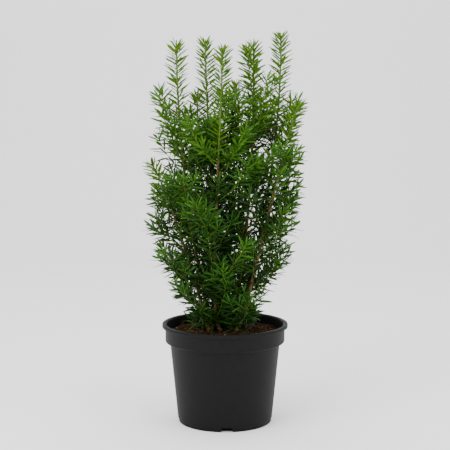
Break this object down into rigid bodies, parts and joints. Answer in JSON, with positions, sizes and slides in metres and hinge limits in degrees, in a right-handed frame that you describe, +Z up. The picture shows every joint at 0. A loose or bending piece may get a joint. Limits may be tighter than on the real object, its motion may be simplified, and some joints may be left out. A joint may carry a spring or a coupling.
{
  "type": "upright hybrid yew in a nursery pot",
  "caption": "Young upright hybrid yew with several stems and fresh green leaders, in a round black nursery pot.",
  "frame": {"origin": "centre of the pot's flat underside", "axes": "+Z up along the pot's axis and the stems, +X to the viewer's right, -Y towards the viewer"},
  "size_m": [0.23, 0.196, 0.586],
  "materials": {
    "pot_plastic": "satin black injection moulding",
    "soil": "rough moist peat with fibres",
    "bark": "thin flaking brown bark, green on young wood",
    "fresh_needles": "satin yellow-green needles of this year's shoots",
    "needles": "glossy dark green needles"
  },
  "bodies": {
    "root": {"bough_left_upper": "bark", "bough_right_top": "bark", "leader_back_left": "fresh_needles", "leader_back_right": "fresh_needles", "leader_centre": "fresh_needles", "leader_far_right": "fresh_needles", "leader_front": "fresh_needles", "leader_left": "fresh_needles", "leader_outer_left": "fresh_needles", "leader_outer_right": "fresh_needles", "leader_right": "fresh_needles", "pot": "pot_plastic", "soil": "soil", "spray_back_left_1": "needles", "spray_back_left_2": "needles", "spray_back_left_top": "needles", "spray_back_left_upper": "needles", "spray_back_right_1": "needles", "spray_back_right_2": "needles", "spray_back_right_top": "needles", "spray_back_right_upper": "needles", "spray_centre_1": "needles", "spray_centre_top": "needles", "spray_centre_upper": "needles", "spray_far_right_1": "needles", "spray_far_right_top": "needles", "spray_far_right_upper": "needles", "spray_front_1": "needles", "spray_front_2": "needles", "spray_front_3": "needles", "spray_front_4": "needles", "spray_front_top": "needles", "spray_front_upper": "needles", "spray_left_1": "needles", "spray_left_2": "needles", "spray_left_top": "needles", "spray_left_upper": "needles", "spray_outer_left_1": "needles", "spray_outer_left_2": "needles", "spray_outer_left_3": "needles", "spray_outer_left_4": "needles", "spray_outer_right_1": "needles", "spray_outer_right_2": "needles", "spray_outer_right_3": "needles", "spray_outer_right_4": "needles", "spray_outer_right_5": "needles", "spray_right_1": "needles", "spray_right_2": "needles", "spray_right_3": "needles", "spray_right_top": "needles", "spray_right_upper": "needles", "stem_back_left": "bark", "stem_back_right": "bark", "stem_centre": "bark", "stem_far_right": "bark", "stem_front": "bark", "stem_left": "bark", "stem_outer_left": "bark", "stem_outer_right": "bark", "stem_right": "bark"}
  },
  "joints": []
}
